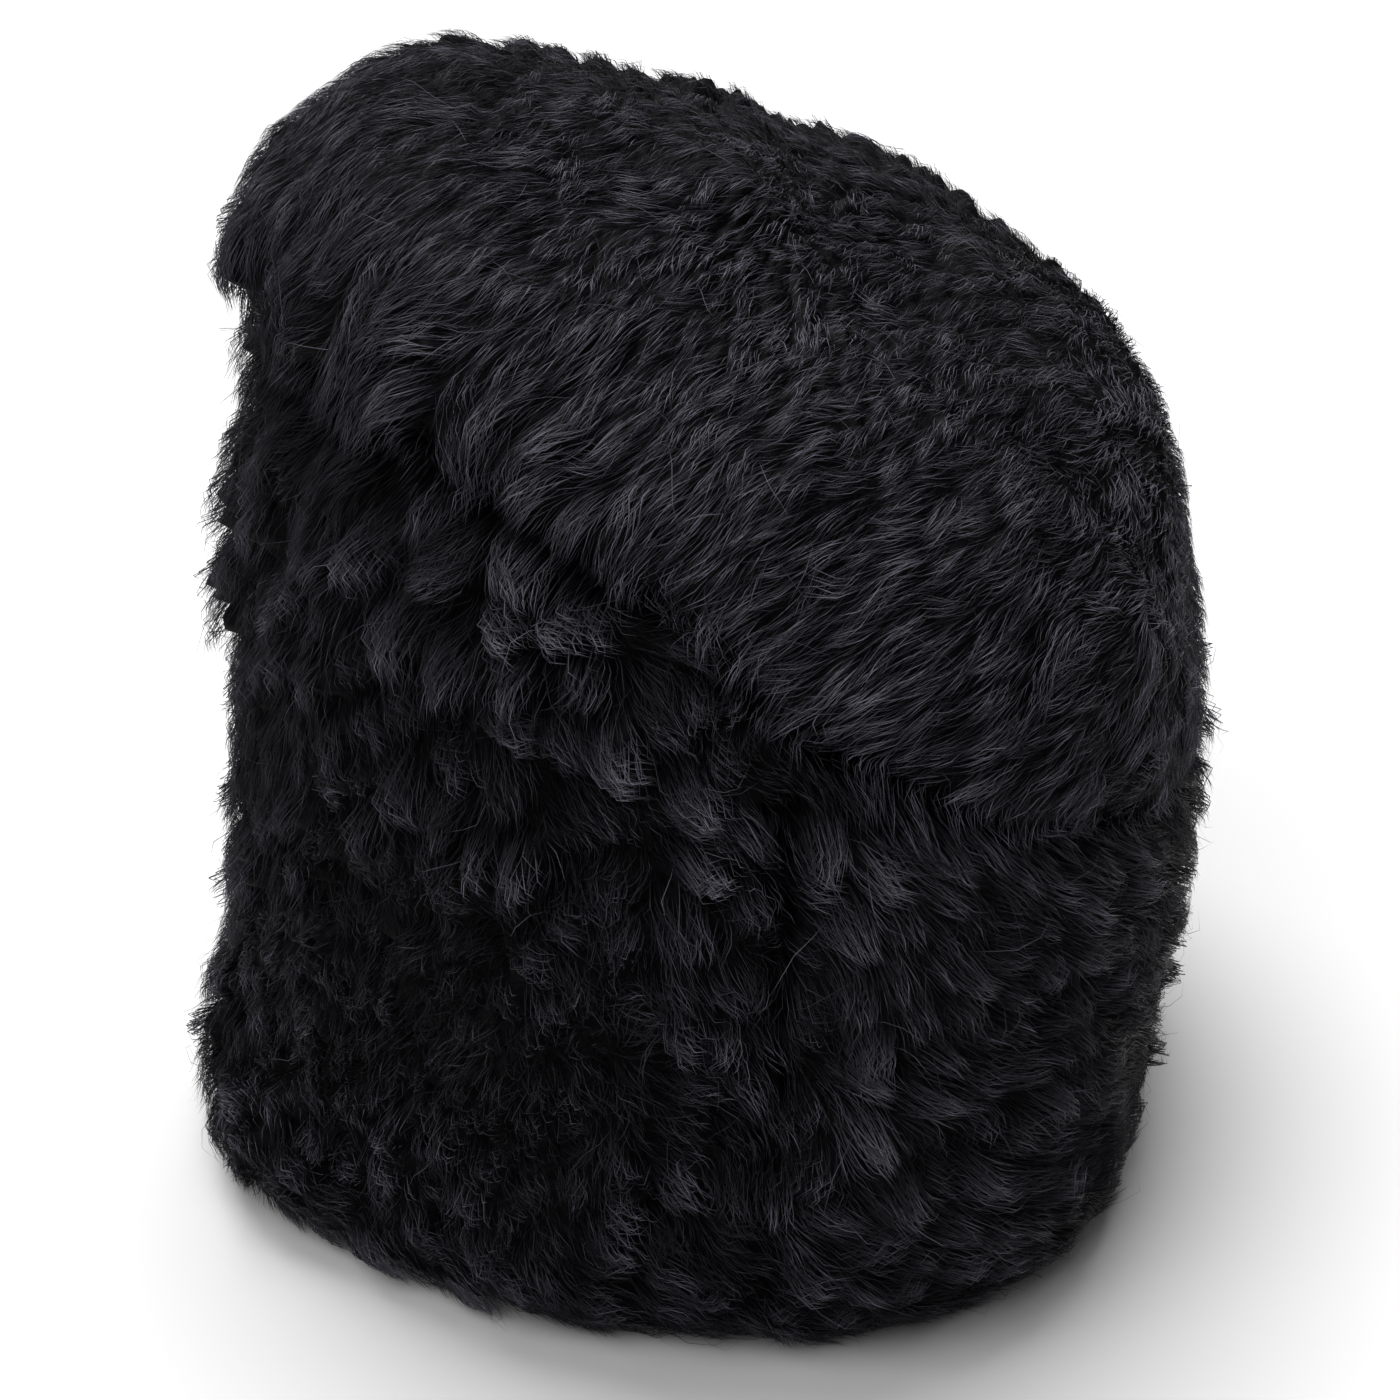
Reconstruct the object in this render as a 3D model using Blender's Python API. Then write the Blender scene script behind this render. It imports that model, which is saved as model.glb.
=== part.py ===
"""A tall sheepskin hat that stands on its rim: a band of hide and a soft crown panel, with the deep
wool on the outside. The band is one strip, joined by an upright seam at the back, and the crown has
slumped to the right, so the seam round it falls from left to right. Lengths are in metres. +X is to
the right as seen from behind, +Y is the front, and the floor is at z = 0."""

import math

import bmesh
import bpy
import numpy as np
from mathutils import Matrix, noise

# Driving sizes
head_width = 0.168
head_length = 0.206
hide_thickness = 0.002
wool_depth = 0.027
hat_height = 0.219
rim_lift = 0.003
hide_gap = 0.0003
seam_gap = 0.0005

# The soft crown: how much lower its top is at the right edge than in the middle, how far it curls up
# again towards both side edges and drops towards front and back, and how far the hat leans over
side_fall = 0.047
side_lift = 0.010
front_back_drop = 0.005
lean_right = 0.013

# The seam between crown and band, highest on the left, with a step where the band's ends meet
seam_height_left = 0.198
seam_height_middle = 0.170
seam_fall = 0.070
seam_bend = 0.008
join_step = 0.004
join_angle = math.radians(275)

# The clefts that the seams pull into the wool, the rounding over the rim and the locks of the nap
seam_cleft = 0.009
join_cleft = 0.006
cleft_reach = 0.008
rim_rounding = 0.012
lock_relief = 0.008
lock_size = 0.026
lock_squash = 0.8

# Faces round the hat and up each surface
columns = 90
band_wool_rows = 13
crown_wool_rows = 10
band_hide_rows = 5
crown_hide_rows = 6
meridian_steps = 240

# How tight the bend between wall and top is on each side, seen from above and seen from the side
sides = {
    #         above  side
    "left":  (5.6,   5.6),
    "right": (5.6,   4.8),
    "front": (3.9,   5.0),
    "back":  (4.0,   5.0),
}

# The slump pulls the oval plan out at three and at four corners, as shares of its size
three_corners = 0.033
four_corners = 0.008

# Dents and bulges of the wool: degrees round from +X, height and spreads round and up as shares of
# hat_height, and the push outwards as a share of wool_depth
dents = [
    # angle height around  up    push
    (172,   0.93,  0.22,   0.12,  0.20),
    (190,   0.03,  0.24,   0.10,  0.10),
    (208,   0.03,  0.18,   0.10,  0.24),
    (202,   0.26,  0.16,   0.06, -0.20),
    (245,   0.03,  0.25,   0.12, -0.10),
    (305,   0.06,  0.30,   0.14,  0.20),
    (350,   0.10,  0.30,   0.18, -0.24),
]

# Depths inside the wool's surface
wool_back = wool_depth
hide_front = wool_depth + hide_gap
hide_back = wool_depth + hide_gap + hide_thickness

angles = [2 * math.pi * column / columns for column in range(columns)]


def half_sizes(inset):
    """Half width and half length of the form that lies inset inside the wool's surface."""
    outside = hide_back - inset
    return head_width / 2 + outside, head_length / 2 + outside


def bends(angle):
    """The two bends from the table of sides, blended round the hat."""
    share = {
        "right": max(math.cos(angle), 0) ** 2,
        "left": max(-math.cos(angle), 0) ** 2,
        "front": max(math.sin(angle), 0) ** 2,
        "back": max(-math.sin(angle), 0) ** 2,
    }
    from_above = sum(share[side] * sides[side][0] for side in sides)
    from_side = sum(share[side] * sides[side][1] for side in sides)
    return from_above, from_side


def form(angle, turn, inset):
    """Points of the smooth form on one meridian. turn runs from 0 at the rim to a right angle at the
    middle of the crown."""
    half_width, half_length = half_sizes(inset)
    from_above, from_side = bends(angle)
    reach = np.cos(turn) ** (2 / from_above)
    rise = np.sin(turn) ** (2 / from_side)
    corners = 1 - three_corners * math.cos(3 * angle) - four_corners * math.cos(4 * angle)
    right = math.cos(angle) * corners * reach
    front = math.sin(angle) * corners * reach
    height = hat_height - inset - side_fall * right + side_lift * right**2 - front_back_drop * front**2
    z = height * rise
    return np.stack([half_width * right + lean_right * z / hat_height, half_length * front, z], axis=-1)


def seam_height(angle, x):
    """Height of the seam between band and crown, where it passes x on one meridian."""
    half_width, _ = half_sizes(0)
    falling = seam_height_middle - seam_fall * x / half_width
    bent = -seam_bend * np.log(np.exp(-falling / seam_bend) + np.exp(-seam_height_left / seam_bend))
    at_back = max(-math.sin(angle), 0)
    from_join = x - half_width * math.cos(join_angle)
    return bent - join_step * at_back * np.tanh(from_join / join_step)


def meridian_turns(angle, inset, lift, band_rows, crown_rows):
    """Turns evenly spaced by length: up the band from lift above the floor to the seam, then over the
    crown to its middle."""
    turn = np.linspace(0, 1, meridian_steps) ** 2 * math.pi / 2
    points = form(angle, turn, inset)
    length = np.concatenate([[0], np.cumsum(np.linalg.norm(np.diff(points, axis=0), axis=1))])
    above = points[:, 2] - seam_height(angle, points[:, 0])
    after = int(np.argmax(above > 0))
    seam = np.interp(0, above[after - 1 : after + 1], length[after - 1 : after + 1])
    start = np.interp(lift, points[:after, 2], length[:after])
    band = np.linspace(start, seam, band_rows + 1)
    crown = np.linspace(seam, length[-1], crown_rows + 1)
    return np.interp(np.concatenate([band, crown[1:]]), length, turn)


def surface(inset, turns):
    """Points in rows from the rim to the middle of the crown, each row going round the hat."""
    return np.stack([form(angle, turns[c], inset) for c, angle in enumerate(angles)], axis=1)


def unit(vectors):
    return vectors / np.maximum(np.linalg.norm(vectors, axis=-1, keepdims=True), 1e-9)


def directions(points):
    """The direction up each meridian and the outward normal at every point of a surface."""
    up = unit(np.gradient(points, axis=0))
    around = np.roll(points, -1, axis=1) - np.roll(points, 1, axis=1)
    outward = unit(np.cross(around, up))
    outward[-1] = unit(outward[-2].mean(axis=0))
    return up, outward


def lock_height(point):
    """Height of the nap, near 1 at the middle of a lock and -1 in the gaps between locks, which are
    longer up the hat than round it."""
    x, y, z = point / lock_size
    nearest, second = noise.voronoi((x, y, z * lock_squash))[0][:2]
    return min(2 * (second - nearest), 1) * 2 * (1 - nearest) - 1


def bump(distance, spread):
    return np.exp(-((distance / spread) ** 2))


def nap(points, seam_row):
    """How far the wool's surface stands out from the smooth form at every point."""
    locks = np.apply_along_axis(lock_height, 2, points)
    length = np.cumsum(np.linalg.norm(np.diff(points, axis=0, prepend=points[:1]), axis=2), axis=0)
    fade = np.minimum((length[-1] - length) / lock_size, 1)
    push = lock_relief / 2 * locks * fade

    radius = np.hypot(points[..., 0], points[..., 1])
    height = points[..., 2]
    for degrees, dent_height, spread_round, spread_up, depth in dents:
        off_round = radius * turned_from(math.radians(degrees))
        off_up = height - dent_height * hat_height
        shape = bump(off_round, spread_round * hat_height) * bump(off_up, spread_up * hat_height)
        push += depth * wool_depth * shape

    push -= seam_cleft * bump(length - length[seam_row], cleft_reach)
    push[:seam_row] -= join_cleft * bump(radius * turned_from(join_angle), cleft_reach)[:seam_row]
    below = np.maximum(1 - height / rim_rounding, 0)
    return push - rim_rounding * (1 - np.sqrt(1 - below**2))


def turned_from(angle):
    """How far round the hat each column is from an angle, from minus to plus half a turn."""
    return (np.array(angles) - angle + math.pi) % (2 * math.pi) - math.pi


def strip(mesh, lower, upper, inwards):
    """Triangles between two rings, the same way round on both faces of a wall, so that nested walls
    lie parallel. A ring of one point closes an end."""
    for column in range(columns):
        following = (column + 1) % columns
        triangles = []
        if len(lower) > 1:
            triangles.append((lower[column], lower[following], upper[following % len(upper)]))
        if len(upper) > 1:
            triangles.append((lower[column % len(lower)], upper[following], upper[column]))
        for triangle in triangles:
            mesh.faces.new(triangle[::-1] if inwards else triangle)


def skin(name, outside, inside, material):
    """A solid wall between the rings of its outer and inner face, both given from the rim upwards."""
    mesh = bmesh.new()
    outer = [[mesh.verts.new(point) for point in ring] for ring in outside]
    inner = [[mesh.verts.new(point) for point in ring] for ring in inside]
    for lower, upper in zip(outer, outer[1:]):
        strip(mesh, lower, upper, False)
    for lower, upper in zip(inner, inner[1:]):
        strip(mesh, lower, upper, True)
    strip(mesh, outer[0], inner[0], True)
    if len(outer[-1]) > 1:
        strip(mesh, outer[-1], inner[-1], False)
    data = bpy.data.meshes.new(name)
    mesh.to_mesh(data)
    mesh.free()
    data.materials.append(material)
    data.shade_smooth()
    data.set_sharp_from_angle(angle=math.radians(50))
    piece = bpy.data.objects.new(name, data)
    bpy.context.scene.collection.objects.link(piece)
    return piece


def halves(points, seam_row, up, gap):
    """The rings of the band and of the crown, parted by a gap along the seam."""
    below = points[seam_row] - up[seam_row] * gap / 2
    above = points[seam_row] + up[seam_row] * gap / 2
    band = [*points[:seam_row], below]
    crown = [above, *points[seam_row + 1 : -1], points[-1][:1]]
    return band, crown


def plain_material(name, color, roughness):
    material = bpy.data.materials.new(name)
    material.use_nodes = True
    shader = material.node_tree.nodes["Principled BSDF"]
    shader.inputs["Base Color"].default_value = (*color, 1)
    shader.inputs["Roughness"].default_value = roughness
    shader.inputs["Metallic"].default_value = 0
    return material


def hide_surfaces():
    """The wool's back and the hide's two faces. They share their turns, so their facets lie parallel,
    and only the wool reaches down to the floor."""
    turns = [
        meridian_turns(angle, hide_front, rim_lift, band_hide_rows, crown_hide_rows)
        for angle in angles
    ]
    to_floor = [np.concatenate([[0], turn]) for turn in turns]
    return surface(wool_back, to_floor), surface(hide_front, turns), surface(hide_back, turns)


def wool_surface():
    """The wool's outer face, and the direction up its meridians."""
    turns = [
        meridian_turns(angle, 0, 0, band_wool_rows, crown_wool_rows) for angle in angles
    ]
    smooth = surface(0, turns)
    up, outward = directions(smooth)
    napped = smooth + outward * nap(smooth, band_wool_rows)[..., None]
    napped[0, :, 2] = 0
    return napped, up


def build_hat():
    """The four pieces, moved so that the origin is under the middle of the hat."""
    back, front_face, back_face = hide_surfaces()
    outer, outer_up = wool_surface()
    hide_up, _ = directions(front_face)
    back_up = np.concatenate([hide_up[:1], hide_up])

    outer_band, outer_crown = halves(outer, band_wool_rows, outer_up, seam_gap)
    back_band, back_crown = halves(back, band_hide_rows + 1, back_up, seam_gap)
    front_band, front_crown = halves(front_face, band_hide_rows, hide_up, seam_gap)
    inner_band, inner_crown = halves(back_face, band_hide_rows, hide_up, seam_gap)

    wool = plain_material("black_wool", (0.012, 0.0118, 0.0145), 0.85)
    hide = plain_material("dark_suede", (0.055, 0.048, 0.045), 0.9)
    pieces = [
        skin("band_wool", outer_band, back_band, wool),
        skin("band_hide", front_band, inner_band, hide),
        skin("crown_wool", outer_crown, back_crown, wool),
        skin("crown_hide", front_crown, inner_crown, hide),
    ]
    all_points = outer.reshape(-1, 3)
    middle = (all_points.min(axis=0) + all_points.max(axis=0)) / 2
    for piece in pieces:
        piece.data.transform(Matrix.Translation((-middle[0], -middle[1], 0)))


for old in list(bpy.data.objects):
    bpy.data.objects.remove(old)
build_hat()
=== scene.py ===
"""The look of a tall black sheepskin hat: a suede hide, and deep combed wool on the outside of it.
Lengths are in metres. +X is to the right as seen from behind, where the photograph was taken."""

import math

import bpy
import numpy as np
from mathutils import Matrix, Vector, kdtree, noise


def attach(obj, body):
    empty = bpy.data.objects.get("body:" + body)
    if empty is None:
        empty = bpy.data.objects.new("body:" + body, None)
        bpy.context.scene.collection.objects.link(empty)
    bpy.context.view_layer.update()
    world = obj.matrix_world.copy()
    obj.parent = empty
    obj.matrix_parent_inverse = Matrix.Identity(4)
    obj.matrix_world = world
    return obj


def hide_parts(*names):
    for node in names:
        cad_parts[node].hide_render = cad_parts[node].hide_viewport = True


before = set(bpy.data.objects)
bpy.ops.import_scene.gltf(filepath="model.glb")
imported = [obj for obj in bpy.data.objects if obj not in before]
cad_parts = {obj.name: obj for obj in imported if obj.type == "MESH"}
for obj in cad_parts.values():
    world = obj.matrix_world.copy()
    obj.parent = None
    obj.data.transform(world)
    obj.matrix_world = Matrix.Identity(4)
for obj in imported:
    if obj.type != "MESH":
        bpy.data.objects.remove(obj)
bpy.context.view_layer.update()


# The hide
# Two pieces of soft sheepskin with the suede side inwards: a band, joined by an upright seam at the
# back, and the crown panel, which has slumped to the right. They set the form for all the wool.

head_width = 0.168
head_length = 0.206
hide_thickness = 0.002
wool_depth = 0.027
hat_height = 0.219
rim_lift = 0.003
hide_gap = 0.0003
seam_gap = 0.0005
hide_front = wool_depth + hide_gap
hide_back = hide_front + hide_thickness
form_middle = np.array([-0.00182, -0.00135, 0])

side_fall = 0.047
side_lift = 0.010
front_back_drop = 0.005
lean_right = 0.013

seam_height_left = 0.198
seam_height_middle = 0.170
seam_fall = 0.070
seam_bend = 0.008
join_step = 0.004
join_angle = math.radians(275)

columns = 360
band_rows = 62
crown_rows = 68
meridian_steps = 400

# How tight the bend between wall and top is, seen from above and seen from the side
sides = {
    #         above  side
    "right": (5.6,   4.8),
    "left":  (5.6,   5.6),
    "front": (3.9,   5.0),
    "back":  (4.0,   5.0),
}
three_corners = 0.033
four_corners = 0.008

angles = np.arange(columns) * 2 * math.pi / columns


def half_sizes(inset):
    """Half width and half length of the form that lies inset inside the wool's surface."""
    return head_width / 2 + hide_back - inset, head_length / 2 + hide_back - inset


def form(turn, inset):
    """Points in rows up the meridians. turn runs from 0 at the rim to a right angle at the middle."""
    half_width, half_length = half_sizes(inset)
    cos, sin = np.cos(angles), np.sin(angles)
    share = np.maximum([cos, -cos, sin, -sin], 0) ** 2
    from_above, from_side = np.array(list(sides.values())).T @ share
    reach = np.cos(turn) ** (2 / from_above)
    rise = np.sin(turn) ** (2 / from_side)
    corners = 1 - three_corners * np.cos(3 * angles) - four_corners * np.cos(4 * angles)
    right = cos * corners * reach
    front = sin * corners * reach
    top = hat_height - inset - side_fall * right + side_lift * right**2 - front_back_drop * front**2
    z = top * rise
    return np.stack([half_width * right + lean_right * z / hat_height, half_length * front, z], axis=-1)


def seam_height(x):
    """Height of the seam between band and crown, where it passes x."""
    half_width, _ = half_sizes(0)
    falling = seam_height_middle - seam_fall * x / half_width
    bent = -seam_bend * np.log(np.exp(-falling / seam_bend) + np.exp(-seam_height_left / seam_bend))
    at_back = np.maximum(-np.sin(angles), 0)
    return bent - join_step * at_back * np.tanh((x - half_width * math.cos(join_angle)) / join_step)


def meridians(inset, lift, rows_below, rows_above):
    """The form in rows evenly spaced by length: from lift above the floor to the seam, then over the
    crown to its middle."""
    turn = np.linspace(0, 1, meridian_steps)[:, None] ** 2 * math.pi / 2
    points = form(np.repeat(turn, columns, axis=1), inset)
    steps = np.linalg.norm(np.diff(points, axis=0, prepend=points[:1]), axis=2)
    length = np.cumsum(steps, axis=0)
    above = points[..., 2] - seam_height(points[..., 0])
    turns = np.empty((rows_below + rows_above + 1, columns))
    for column in range(columns):
        run = length[:, column]
        after = int(np.argmax(above[:, column] > 0))
        near = slice(after - 1, after + 1)
        seam = np.interp(0, above[near, column], run[near])
        start = np.interp(lift, points[:after, column, 2], run[:after])
        below = np.linspace(start, seam, rows_below + 1)
        over = np.linspace(seam, run[-1], rows_above + 1)
        turns[:, column] = np.interp(np.concatenate([below, over[1:]]), run, turn[:, 0])
    return form(turns, inset)


def unit(vectors):
    return vectors / np.maximum(np.linalg.norm(vectors, axis=-1, keepdims=True), 1e-9)


def directions(points):
    """The direction up each meridian and the outward normal at every point of a surface."""
    up = unit(np.gradient(points, axis=0))
    around = np.roll(points, -1, axis=1) - np.roll(points, 1, axis=1)
    outward = unit(np.cross(around, up))
    outward[-1] = unit(outward[-2].mean(axis=0))
    return up, outward


def grid_faces(rows, first, flipped):
    """Faces between the rows of a grid of points that are numbered from first."""
    row, column = np.mgrid[: rows - 1, :columns]
    lower = first + row * columns
    after = (column + 1) % columns
    corners = [lower + column, lower + after, lower + columns + after, lower + columns + column]
    faces = np.stack(corners, axis=-1).reshape(-1, 4)
    return faces[:, ::-1] if flipped else faces


def fan_faces(ring, middle, flipped):
    """Triangles from a ring, numbered from ring, to one point."""
    column = np.arange(columns)
    after = (column + 1) % columns
    faces = np.stack([ring + column, ring + after, np.full(columns, middle)], axis=-1)
    return faces[:, ::-1] if flipped else faces


def mesh_piece(name, points, faces, material):
    """An object whose mesh has these points and faces and the material, shaded smooth."""
    data = bpy.data.meshes.new(name)
    data.from_pydata((points - form_middle).tolist(), [], [face.tolist() for face in faces])
    data.materials.append(material)
    data.shade_smooth()
    piece = bpy.data.objects.new(name, data)
    bpy.context.scene.collection.objects.link(piece)
    return piece


def ring_wall(name, outside, inside, material):
    """A closed wall between two grids of points, open at the top and at the bottom."""
    points = np.concatenate([outside.reshape(-1, 3), inside.reshape(-1, 3)])
    first = outside.shape[0] * columns
    faces = [*grid_faces(len(outside), 0, False), *grid_faces(len(inside), first, True)]
    ends = ((0, first, True), (first - columns, len(points) - columns, False))
    for outer, inner, flipped in ends:
        for column in range(columns):
            after = (column + 1) % columns
            quad = np.array([outer + column, outer + after, inner + after, inner + column])
            faces.append(quad[::-1] if flipped else quad)
    return mesh_piece(name, points, faces, material)


def dome_wall(name, outside, inside, material):
    """A closed wall between two grids of points whose last rows are the middle of the crown."""
    grids = [outside[:-1].reshape(-1, 3), outside[-1, :1], inside[:-1].reshape(-1, 3), inside[-1, :1]]
    points = np.concatenate(grids)
    outer_middle = len(grids[0])
    first = outer_middle + 1
    inner_middle = len(points) - 1
    faces = [*grid_faces(len(outside) - 1, 0, False), *grid_faces(len(inside) - 1, first, True)]
    faces += [*fan_faces(outer_middle - columns, outer_middle, False)]
    faces += [*fan_faces(inner_middle - columns, inner_middle, True)]
    for column in range(columns):
        after = (column + 1) % columns
        faces.append(np.array([column, first + column, first + after, after]))
    return mesh_piece(name, points, faces, material)


class Wire:
    """One output in a node tree. Sums and products of wires make math nodes."""

    def __init__(self, nodes, socket):
        self.nodes = nodes
        self.socket = socket

    def __add__(self, other):
        return self.nodes.math("ADD", self, other)

    def __sub__(self, other):
        return self.nodes.math("SUBTRACT", self, other)

    def __rsub__(self, other):
        return self.nodes.math("SUBTRACT", other, self)

    def __mul__(self, other):
        return self.nodes.math("MULTIPLY", self, other)

    def __truediv__(self, other):
        return self.nodes.math("DIVIDE", self, other)

    def __pow__(self, other):
        return self.nodes.math("POWER", self, other)

    __radd__ = __add__
    __rmul__ = __mul__


class Nodes:
    """Adds nodes to one tree, with their settings and what feeds them."""

    def __init__(self, tree):
        self.tree = tree

    def feed(self, socket, value):
        if isinstance(value, Wire):
            self.tree.links.new(value.socket, socket)
        elif socket.type == "VECTOR" and isinstance(value, (int, float)):
            socket.default_value = (value, value, value)
        else:
            socket.default_value = value

    def node(self, kind, settings=None, output=None, **inputs):
        made = self.tree.nodes.new(kind)
        for name, value in (settings or {}).items():
            setattr(made, name, value)
        for name, value in inputs.items():
            title = name.replace("_", " ").title()
            titles = [s for s in made.inputs if s.enabled and s.name.title() == title]
            self.feed(titles[0], value)
        shown = [s for s in made.outputs if s.enabled and output in (None, s.name)]
        return Wire(self, shown[0])

    def math(self, operation, *values):
        vectors = [value for value in values if self.is_vector(value)]
        made = self.tree.nodes.new("ShaderNodeVectorMath" if vectors else "ShaderNodeMath")
        made.operation = operation
        for socket, value in zip(made.inputs, values):
            self.feed(socket, value)
        shown = [s for s in made.outputs if s.enabled]
        return Wire(self, shown[0])

    def is_vector(self, value):
        return value.socket.type == "VECTOR" if isinstance(value, Wire) else isinstance(value, tuple)


def new_material(name):
    """A material, its nodes and its shader."""
    material = bpy.data.materials.new(name)
    material.use_nodes = True
    nodes = Nodes(material.node_tree)
    return material, nodes, material.node_tree.nodes["Principled BSDF"]


def suede_material():
    """Dark suede, brushed: soft cloudy tone and a fine nap."""
    material, nodes, shader = new_material("brushed_suede")
    place = nodes.node("ShaderNodeTexCoord", output="Object")
    clouds = nodes.node("ShaderNodeTexNoise", vector=place, scale=45.0, detail=4.0, roughness=0.6)
    fine = nodes.node("ShaderNodeTexNoise", vector=place, scale=1400.0, detail=3.0, roughness=0.7)
    tone = nodes.node(
        "ShaderNodeMix", {"data_type": "RGBA"}, factor=clouds,
        a=(0.030, 0.026, 0.024, 1), b=(0.085, 0.074, 0.068, 1),
    )
    bump = nodes.node("ShaderNodeBump", strength=0.5, distance=0.0004, height=fine + clouds * 2.0)
    nodes.feed(shader.inputs["Base Color"], tone)
    nodes.feed(shader.inputs["Normal"], bump)
    shader.inputs["Roughness"].default_value = 0.9
    shader.inputs["Sheen Weight"].default_value = 0.25
    return material


hide_rows_below = 8
hide_rows_above = 9
suede = suede_material()
hide_outside = meridians(hide_front, rim_lift, hide_rows_below, hide_rows_above)
hide_inside = meridians(hide_back, rim_lift, hide_rows_below, hide_rows_above)


def parted(points, seam_row):
    """The rows of the band and of the crown, with half of seam_gap taken off each along the seam."""
    up, _ = directions(points)
    band, crown = points[: seam_row + 1].copy(), points[seam_row:].copy()
    band[-1] -= up[seam_row] * seam_gap / 2
    crown[0] += up[seam_row] * seam_gap / 2
    return band, crown


outer_band, outer_crown = parted(hide_outside, hide_rows_below)
inner_band, inner_crown = parted(hide_inside, hide_rows_below)
band_lining = ring_wall("band_suede", outer_band, inner_band, suede)
crown_lining = dome_wall("crown_suede", outer_crown, inner_crown, suede)
for lining, node in ((band_lining, "band_hide"), (crown_lining, "crown_hide")):
    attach(lining, "root")
    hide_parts(node)


# The wool's roots
# The dense inner wool that the long wool grows from. It is a solid coat, drawn in along the seam and
# the join, with the slump's dents and bulges in it, and it stands in tufts. The long wool is combed
# out over it.

root_depth = 0.0042
seam_cleft = 0.009
join_cleft = 0.0055
cleft_reach = 0.0048
rim_rounding = 0.016
swell_height = 0.0016
swell_size = 0.034
ripple_height = 0.0018
ripple_size = 0.016
wander_height = 0.0028
wander_size = 0.014

# Dents and bulges of the wool: degrees round from +X, height and spreads round and up as shares of
# hat_height, and the push outwards as a share of wool_depth
dents = [
    # angle height around  up    push
    (180,   0.98,  0.20,   0.09,  0.33),
    (180,   0.63,  0.20,   0.18,  0.08),
    (180,   0.42,  0.20,   0.10, -0.10),
    (192,   0.21,  0.16,   0.06, -0.16),
    (203,   0.04,  0.17,   0.10,  0.31),
    (275,   0.02,  0.45,   0.10, -0.30),
    (305,   0.10,  0.30,   0.14,  0.10),
    (338,   0.14,  0.28,   0.16, -0.19),
    (347,   0.36,  0.15,   0.10,  0.03),
    (2,     0.45,  0.20,   0.10,  0.12),
    (10,    0.74,  0.22,   0.12,  0.08),
    (88,    0.93,  0.36,   0.16,  0.10),
    (50,    0.86,  0.22,   0.12,  0.05),
]


def bump(distance, spread):
    """1 where the distance is 0, falling off to nothing over a few spreads."""
    return np.exp(-((distance / spread) ** 2))


def turned_from(degrees):
    """How far round the hat each column is from an angle, from minus to plus half a turn."""
    return (angles - math.radians(degrees) + math.pi) % (2 * math.pi) - math.pi


def uneven(points, size, offset):
    """Smooth noise from -1 to 1 over the points, with hollows of about this size."""
    places = points.reshape(-1, 3) / size + offset
    values = [noise.noise(Vector(place)) for place in places]
    return np.array(values).reshape(points.shape[:-1])


def dented(points):
    """The form with its dents and bulges, and rounded over at the rim."""
    _, outward = directions(points)
    radius = np.hypot(points[..., 0], points[..., 1])
    height = points[..., 2]
    push = swell_height * uneven(points, swell_size, 3.7) + ripple_height * uneven(points, ripple_size, 9.4)
    for degrees, dent_height, spread_round, spread_up, depth in dents:
        off_round = radius * turned_from(degrees)
        off_up = height - dent_height * hat_height
        shape = bump(off_round, spread_round * hat_height) * bump(off_up, spread_up * hat_height)
        push += depth * wool_depth * shape
    below = np.maximum(1 - height / rim_rounding, 0)
    push -= rim_rounding * (1 - np.sqrt(1 - below**2))
    return points + outward * push[..., None]


roots = dented(meridians(root_depth, 0.001, band_rows, crown_rows))
roots_up, roots_outward = directions(roots)
height = roots[..., 2]
up_the_hat = np.cumsum(np.linalg.norm(np.diff(roots, axis=0, prepend=roots[:1]), axis=2), axis=0)
from_seam = up_the_hat - up_the_hat[band_rows]
from_join = np.hypot(roots[..., 0], roots[..., 1]) * turned_from(math.degrees(join_angle))
in_band = np.repeat(np.arange(len(roots))[:, None] <= band_rows, columns, axis=1)
wander = wander_height * uneven(roots, wander_size, 8.1)

# The seam's cleft gapes most at the back left and just right of the join. The join's own cleft is
# deepest under the seam.
gape_left = bump(turned_from(207), 0.42)
gape_right = bump(turned_from(290), 0.28)
gap_share = 0.8 + 0.7 * gape_left + 0.7 * gape_right
sunk = seam_cleft * gap_share * bump(from_seam + wander, cleft_reach * gap_share)
join_depth = join_cleft * (1 + 0.7 * bump(height - 0.12, 0.035))
sunk = np.maximum(sunk, join_depth * bump(from_join + wander, cleft_reach) * in_band)


def laid(heading):
    """A heading laid into the surface."""
    inwards = (heading * roots_outward).sum(axis=-1, keepdims=True)
    return unit(heading - inwards * roots_outward)


def swung(heading, outward, angle):
    """A heading turned round the outward direction."""
    beside = np.cross(outward, heading)
    return heading * np.cos(angle)[..., None] + beside * np.sin(angle)[..., None]


# Which way the crown's wool points in plan, in degrees from +X, near some places on it, given as
# shares of its half width and half length
crown_headings = [
    # right front degrees
    (-0.9,  0.0,  -130),
    (-0.8, -0.7,  -150),
    (-0.4,  0.6,  -135),
    (0.0,   0.0,  -118),
    (-0.2, -0.8,  -125),
    (0.3,  -0.8,  -140),
    (0.7,  -0.6,  -140),
    (0.4,  -0.3,  -115),
    (0.8,   0.0,  -120),
    (0.4,   0.6,  -150),
    (0.2,   0.95, -175),
]


def crown_comb():
    """The crown's wool flows over it towards the back, and down once it is past the edge."""
    half_width, half_length = half_sizes(0)
    right = roots[..., 0] / half_width
    front = roots[..., 1] / half_length
    flow = np.zeros((*right.shape, 2))
    for at_right, at_front, degrees in crown_headings:
        weight = 1 / ((right - at_right) ** 2 + (front - at_front) ** 2 + 0.05) ** 2
        toward = (math.cos(math.radians(degrees)), math.sin(math.radians(degrees)))
        flow += weight[..., None] * np.array(toward)
    down = np.full(right.shape, -0.12)
    return laid(np.concatenate([unit(flow), down[..., None]], axis=-1))


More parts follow.
